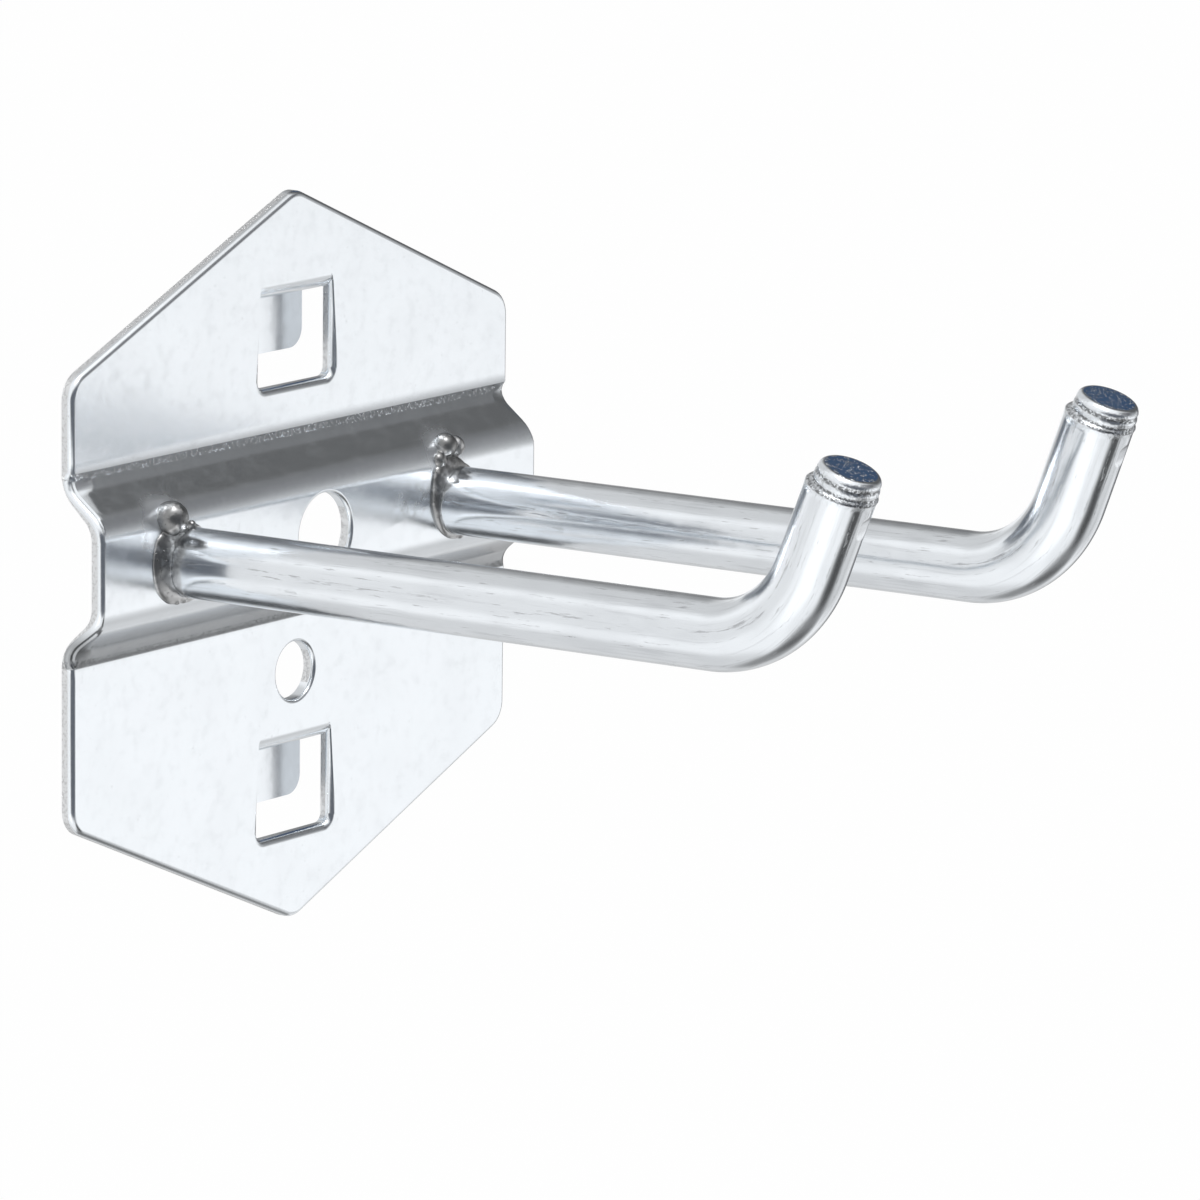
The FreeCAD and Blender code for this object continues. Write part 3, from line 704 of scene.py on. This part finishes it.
# Each patch: towards, degrees to its core's edge and to its outer edge, how much flatter than round it
# is, how much of the tent it hides, and its colour
TENT_PATCHES = (
    ((0.79, -0.60, -0.20), 10, 20, 1.0, 1.00, (1.08, 1.08, 1.08, 1)),
    ((-0.80, -0.25, -0.55), 10, 26, 1.0, 1.00, (1.25, 1.25, 1.25, 1)),
    ((0.80, 0.10, 0.59), 19, 41, 1.0, 0.91, (0.03, 0.03, 0.03, 1)),
    ((0.82, -0.51, 0.26), 12, 26, 1.0, 0.60, (0.04, 0.045, 0.05, 1)),
    ((0.79, 0.32, 0.52), 7, 16, 1.0, 1.00, (0.045, 0.080, 0.150, 1)),
    ((0.50, -0.72, 0.45), 12, 26, 1.0, 0.80, (0.04, 0.04, 0.05, 1)),
    ((0.95, 0.22, -0.10), 13, 26, 1.0, 0.85, (0.04, 0.04, 0.05, 1)),
    ((0.80, 0.56, 0.20), 7, 16, 1.0, 0.70, (0.05, 0.05, 0.05, 1)),
    ((0.79, -0.20, -0.58), 8, 14, 1.0, 0.25, (0.06, 0.06, 0.06, 1)),
    ((0.76, 0.42, -0.50), 8, 24, 1.0, 0.35, (0.06, 0.06, 0.06, 1)),
    ((0.22, -0.69, -0.69), 6, 22, 1.0, 0.95, (0.03, 0.03, 0.03, 1)),
    ((0.28, -0.28, -0.92), 10, 26, 1.0, 0.75, (0.03, 0.03, 0.03, 1)),
    ((0.38, 0.08, -0.92), 10, 24, 1.0, 0.65, (0.03, 0.03, 0.03, 1)),
    ((0.66, -0.45, -0.60), 7, 15, 1.0, 0.30, (0.03, 0.03, 0.03, 1)),
    ((-0.35, -0.92, 0.00), 38, 60, 2.0, 0.92, (0.05, 0.06, 0.08, 1)),
    ((0.16, 0.98, -0.03), 10, 26, 1.0, 0.48, (0.05, 0.05, 0.05, 1)),
    ((0.25, 0.62, 0.74), 22, 40, 1.0, 0.34, (0.05, 0.05, 0.05, 1)),
    ((0.08, 0.59, -0.80), 24, 40, 1.0, 0.28, (0.05, 0.05, 0.05, 1)),
    ((-0.78, 0.60, 0.15), 18, 34, 1.0, 0.16, (0.05, 0.05, 0.05, 1)),
)

world = bpy.data.worlds.new("white_tent")
bpy.context.scene.world = world
tree = new_tree(world)
direction = tree.node("ShaderNodeTexCoord")
seen = WHITE
for towards, core, edge, squeeze, share, colour in TENT_PATCHES:
    aim = Vector((towards[0], towards[1], towards[2] * squeeze)).normalized()
    squeezed = direction.stretch(1, 1, squeeze)
    squeezed = squeezed.vector_maths("NORMALIZE", squeezed)
    closeness = squeezed.vector_maths("DOT_PRODUCT", squeezed, aim, output=1)
    cover = closeness.between(math.cos(math.radians(edge)), math.cos(math.radians(core))) * share
    seen = cover.mix(seen, colour)
from_camera = tree.node("ShaderNodeLightPath")
seen = from_camera.mix(seen, WHITE)
backdrop = tree.node("ShaderNodeBackground", Color=seen)
tree.node("ShaderNodeOutputWorld", output=None, Surface=backdrop)
print("Patches on the tent:", len(TENT_PATCHES))

# %% Hang the lamp
KEY_TOWARDS = Vector((-0.15, -0.35, 0.92)).normalized()
KEY_DISTANCE = 0.7
KEY_WIDTH = 0.22
KEY_POWER = 2.0

key = bpy.data.lights.new("soft_key", "AREA")
key.shape = "DISK"
key.size = KEY_WIDTH
key.energy = KEY_POWER
key_object = bpy.data.objects.new("soft_key", key)
facing = KEY_TOWARDS.to_track_quat("Z", "Y").to_matrix().to_4x4()
key_object.matrix_world = Matrix.Translation(KEY_TOWARDS * KEY_DISTANCE) @ facing
bpy.context.scene.collection.objects.link(key_object)
print("Lamp at", [round(c, 3) for c in key_object.matrix_world.translation])

# %% [markdown]
# ## The floor
#
# A plain white floor lies far below the hook, which hangs in the air as it does on its panel. To the
# camera the floor is as white as the tent, but for a trace of the hook's shadow.

# %% Lay the floor
FLOOR_LEVEL = -300 * MM
FLOOR_HALF = 3.0
PAPER = (0.9, 0.9, 0.9, 1)
SHADOW_SHARE = 0.02

bm = bmesh.new()
bmesh.ops.create_grid(bm, x_segments=1, y_segments=1, size=FLOOR_HALF)
bm.transform(Matrix.Translation((0, 0, FLOOR_LEVEL)))
floor_mesh = bpy.data.meshes.new("white_floor")
bm.to_mesh(floor_mesh)
bm.free()
floor = bpy.data.objects.new("white_floor", floor_mesh)
bpy.context.scene.collection.objects.link(floor)
floor.visible_glossy = False
paper = bpy.data.materials.new("white_paper")
tree = new_tree(paper)
matt = tree.node("ShaderNodeBsdfDiffuse", Color=PAPER)
plain = tree.node("ShaderNodeEmission", Color=WHITE)
to_camera = tree.node("ShaderNodeLightPath") * (1.0 - SHADOW_SHARE)
surface = tree.node("ShaderNodeMixShader", i0=to_camera, i1=matt, i2=plain)
tree.node("ShaderNodeOutputMaterial", output=None, Surface=surface)
floor_mesh.materials.append(paper)
print("Floor at", FLOOR_LEVEL)

# %% [markdown]
# ## Plating on the sheet
#
# The plate was stamped from rolled sheet and then plated. The plating is thin and bright and follows
# every mark of the press: the flats are not quite flat, the die has bruised the metal along both
# folds, and the sheared edges are duller. Beside the prongs the heat of the weld has dulled the
# metal, and each prong has a brownish painted reflection on the plate beside its root. The lower
# slope of the channel is darkened with painted shade. All the patterns are worked out in
# millimetres on the plate itself, and a Bump node turns their heights into the way the light leaves
# the surface.

# %% Helpers for a finish
PLATING = (0.865, 0.900, 0.935, 1)
METRES_TO_MM = 1000


def finish(name, tree_maker):
    """A material whose nodes are made by a function."""
    material = bpy.data.materials.new(name)
    tree_maker(new_tree(material))
    print(name, "has", len(material.node_tree.nodes), "nodes")
    return material


def in_millimetres(tree):
    """The place on the piece, in millimetres."""
    return tree.node("ShaderNodeTexCoord", output=3).stretch(METRES_TO_MM, METRES_TO_MM, METRES_TO_MM)


def bump(height):
    """A normal from a height in millimetres."""
    return height.node("ShaderNodeBump", Height=height, Distance=MM, Strength=1.0)


def shade(tree, colour, roughness, height):
    """Bare metal with a colour, a roughness and a height over the surface."""
    shader = tree.node(
        "ShaderNodeBsdfPrincipled",
        Base_Color=colour,
        Metallic=1.0,
        Roughness=roughness,
        Normal=bump(height),
    )
    tree.node("ShaderNodeOutputMaterial", output=None, Surface=shader)


def spot(place, middle, stretch, inner, outer):
    """1 near a point, 0 beyond outer, in millimetres stretched by three factors."""
    away = place.vector_maths("SUBTRACT", place, middle).stretch(*stretch)
    distance = away.vector_maths("LENGTH", away, output=1)
    return 1.0 - distance.between(inner, outer)


# %% Finish the sheet
CLOUDED = (0.62, 0.64, 0.66, 1)
SPECKED = (0.32, 0.33, 0.35, 1)
DULL_PLATING = (0.78, 0.79, 0.80, 1)
# Brownish: the painted reflection of each prong, and the tears on the sheared walls
BROWN_TEARS_AND_REFLECTION = (0.30, 0.285, 0.27, 1)
# Painted shade for the lower slope of the channel
PAINTED_SLOPE_SHADE = (0.10, 0.10, 0.10, 1)
# The first spots, beside the prongs' roots, carry a painted reflection of each prong
# Each spot: its middle, how much its distances count along x, y and z, its core and its outer edge
PRONG_REFLECTION_SPOTS = (
    ((-22.4, -4.25, 4.4), (1, 1, 1.7), 0.3, 3.4),
    ((12.6, -4.25, 3.4), (0.6, 1, 1.5), 0.2, 3.4),
)
HEATED = (
    ((-20.8, -4.2, 6.4), (1, 1, 1), 0.8, 3.4),
    ((16.2, -4.2, 7.0), (1, 1, 1), 0.8, 3.2),
)
# The foot of each slope, where the flat dishes towards it and the crease falls into it
FOLD_LINE = 7.99
DISH_WIDTH = 0.9
DISH_RISE = 0.10
CREASE_WIDTH = 1.3
CREASE_RISE = 0.75
# Heights of the press marks in millimetres
WAVE_HEIGHT = 0.045
PEEL_HEIGHT = 0.007
TORN_HEIGHT = -0.03
LOWER_BRUISE = 0.1
UPPER_BRUISE = 0.3


def plated_sheet(tree):
    place = in_millimetres(tree)
    sheared = tree.node("ShaderNodeAttribute", {"attribute_name": "sheared"}, 2)
    from_channel = (place.part(2) - CHANNEL_CENTRE).size()

    clouds = place.noise(0.16, 3.0).between(0.35, 0.7)
    patches = place.noise(0.75, 4.0, 0.6).between(0.45, 0.75)
    specks = place.noise(3.4, 3.0, 0.6).between(0.66, 0.74)
    mottled = (clouds * 0.08 + patches * 0.06).mix(PLATING, CLOUDED)
    marked = (specks * 0.22).mix(mottled, SPECKED)

    # Painted reflection: the plate beside each prong's root is darkened brownish where it mirrors the
    # prong
    reflection_spot = sum(spot(place, *row) for row in PRONG_REFLECTION_SPOTS)
    painted_reflection = reflection_spot * place.noise(0.9, 4.0, 0.6).between(0.38, 0.62) * 0.42
    with_painted_reflection = painted_reflection.mix(marked, BROWN_TEARS_AND_REFLECTION)
    torn = place.noise(4.0, 3.0, 0.6).between(0.50, 0.62)
    # Painted shade: the lower slope of the channel, which faces down, is darkened
    down_slope = (CHANNEL_CENTRE - place.part(2)).between(3.8, 6.2)
    slope_shade_mask = down_slope * (1.0 - from_channel.between(7.85, 8.1))
    slope_shaded = (slope_shade_mask * 0.62).mix(with_painted_reflection, PAINTED_SLOPE_SHADE)
    colour = sheared.mix(slope_shaded, (torn * 0.22).mix(DULL_PLATING, BROWN_TEARS_AND_REFLECTION))

    before_fold = (FOLD_LINE + DISH_WIDTH - from_channel).within(0.0, DISH_WIDTH)
    past_fold = (FOLD_LINE - from_channel).within(0.0, CREASE_WIDTH)
    dished = before_fold * before_fold * DISH_RISE
    creased = past_fold * CREASE_RISE - past_fold * past_fold * (CREASE_RISE / CREASE_WIDTH / 2)
    near_fold = from_channel.band(FOLD_LINE - 0.32, 0.16, 0.14)
    bruised = near_fold * place.noise(3.4, 2.0, 0.6).between(0.54, 0.61)
    bruise_height = place.part(2).between(-4.5, 10.5) * (UPPER_BRUISE - LOWER_BRUISE) + LOWER_BRUISE
    waves = place.noise(0.11, 1.0) * WAVE_HEIGHT
    orange_peel = place.noise(1.0, 3.0) * PEEL_HEIGHT
    torn_skin = sheared * torn * TORN_HEIGHT
    height = waves + orange_peel + dished + creased + bruised * bruise_height + torn_skin

    heated = sum(spot(place, *row) for row in HEATED)
    roughness = 0.20 + patches * 0.06 + painted_reflection * 0.2 + sheared * 0.14 + heated * 0.22
    shade(tree, colour, roughness, height)


# %% [markdown]
# ## Plating on the wire
#
# Drawing pulls the wire through a die and leaves fine lines along it. The lines follow the bend, so
# they are laid on the place that each point would have if the wire were straight. The wire is rubbed
# most along a line just above its middle. The rings round the tip are darker, and the shear has left
# small burrs on the cut end.

# %% Finish the wire
DRAWN_LINE = (0.55, 0.57, 0.60, 1)
FLECK = (0.22, 0.22, 0.23, 1)
RING_DARK = (0.06, 0.06, 0.06, 1)
# Each darker ring: depth below the end of the wire, half its width, and its fade
RINGS = ((0.78, 0.10, 0.16), (1.50, 0.06, 0.14), (1.78, 0.05, 0.12))
# Heights in millimetres
LINE_HEIGHT = -0.004
FLECK_HEIGHT = -0.006
RING_GRAIN_HEIGHT = 0.05
WIRE_WAVE_HEIGHT = 0.04
BURR_HEIGHT = 0.0574


def plated_wire(tree):
    straight = tree.node("ShaderNodeAttribute", {"attribute_name": "unbent"}, 1)
    below_end = tree.node("ShaderNodeAttribute", {"attribute_name": "below_end"}, 2)
    drawn = straight.stretch(1, 0.045, 1)
    lines = drawn.noise(2.2, 4.0, 0.65).between(0.52, 0.72)
    rubbed = (straight.part(2) * 2.0).angle().band(0.70, 0.12, 0.30)
    flecks = straight.stretch(1, 0.08, 1).noise(3.6, 4.0, 0.7) + rubbed * 0.07
    flecks = flecks.between(0.60, 0.72)
    clouds = straight.stretch(1, 0.4, 1).noise(0.5, 3.0).between(0.4, 0.7)
    worn = (lines * 0.34 + clouds * 0.14).mix(PLATING, DRAWN_LINE)
    flecked = (flecks * 0.5).mix(worn, FLECK)

    grain = straight.noise(4.5, 3.0, 0.6)
    in_rings = sum(below_end.band(*ring) for ring in RINGS)
    # The rings round the tip are darkened
    darker_in_rings = in_rings * grain.between(0.38, 0.55)
    colour = (darker_in_rings * 0.8).mix(flecked, RING_DARK)

    near_rings = below_end.band(1.25, 0.75, 0.5)
    cut_end = 1.0 - below_end.between(0.0, 0.02)
    burrs = cut_end * straight.noise(3.8, 1.0).between(0.60, 0.66)
    along_wire = lines * LINE_HEIGHT + flecks * FLECK_HEIGHT
    at_tip = grain * near_rings * RING_GRAIN_HEIGHT + burrs * BURR_HEIGHT
    height = along_wire + at_tip + straight.noise(0.35, 1.0) * WIRE_WAVE_HEIGHT
    roughness = 0.16 + clouds * 0.05 + flecks * 0.1 + darker_in_rings * 0.15
    shade(tree, colour, roughness, height)


# %% [markdown]
# ## Plating on the weld
#
# A weld bead freezes with a rippled, pitted skin. The plating there is darker with soot in patches,
# and most of all above the prong, where the darkening of the dome is painted shade. The ripples run
# up the bead and crowd together above the prong's middle.

# %% Finish the beads
CLEAN_WELD = (0.80, 0.805, 0.81, 1)
# Soot, and painted shade on the dome above the prong
SOOT_AND_DOME_SHADE = (0.05, 0.05, 0.048, 1)
# Which slice of the noise gives the ripples
RIPPLE_SLICE = 1.83848
RIPPLE_HEIGHT = 0.09
PIT_HEIGHT = 0.02


def plated_weld(tree):
    place = in_millimetres(tree)
    beside = place.part(0).size() - PRONGS["right"]["x"]
    above = place.part(2) - PRONG_HEIGHT
    crowded = (beside * 2.0).angle() * 0.9
    ripples = tree.node("ShaderNodeCombineXYZ", X=RIPPLE_SLICE, Y=crowded).noise(1.0, 3.0)
    pits = place.noise(3.2, 2.0).between(0.60, 0.70)
    # Soot in patches, and more above the prong, where the darkened dome is painted shade
    soot_and_painted_shade = place.noise(1.1, 3.0).between(0.22, 0.52) * (above.between(-3.0, 0.5) * 0.42 + 0.30)
    colour = (soot_and_painted_shade + pits * 0.15).mix(CLEAN_WELD, SOOT_AND_DOME_SHADE)
    height = ripples * RIPPLE_HEIGHT + pits * PIT_HEIGHT
    roughness = 0.29 + soot_and_painted_shade * 0.10
    shade(tree, colour, roughness, height)


# %% Give every piece and its solid the same finish
LOOKS = {
    "plated_sheet": finish("plated_sheet", plated_sheet),
    "plated_wire": finish("plated_wire", plated_wire),
    "plated_weld": finish("plated_weld", plated_weld),
}
# Each solid's piece and look
DRESSED = {
    "back_plate": ("stamped_plate", "plated_sheet"),
    "left_prong": ("left_wire", "plated_wire"),
    "right_prong": ("right_wire", "plated_wire"),
    "left_weld": ("left_bead", "plated_weld"),
    "right_weld": ("right_bead", "plated_weld"),
}
for solid, (piece, look) in DRESSED.items():
    for worn_by in (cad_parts[solid], ALL_PIECES[piece]):
        worn_by.data.materials.clear()
        worn_by.data.materials.append(LOOKS[look])
    print(piece, "wears", look)
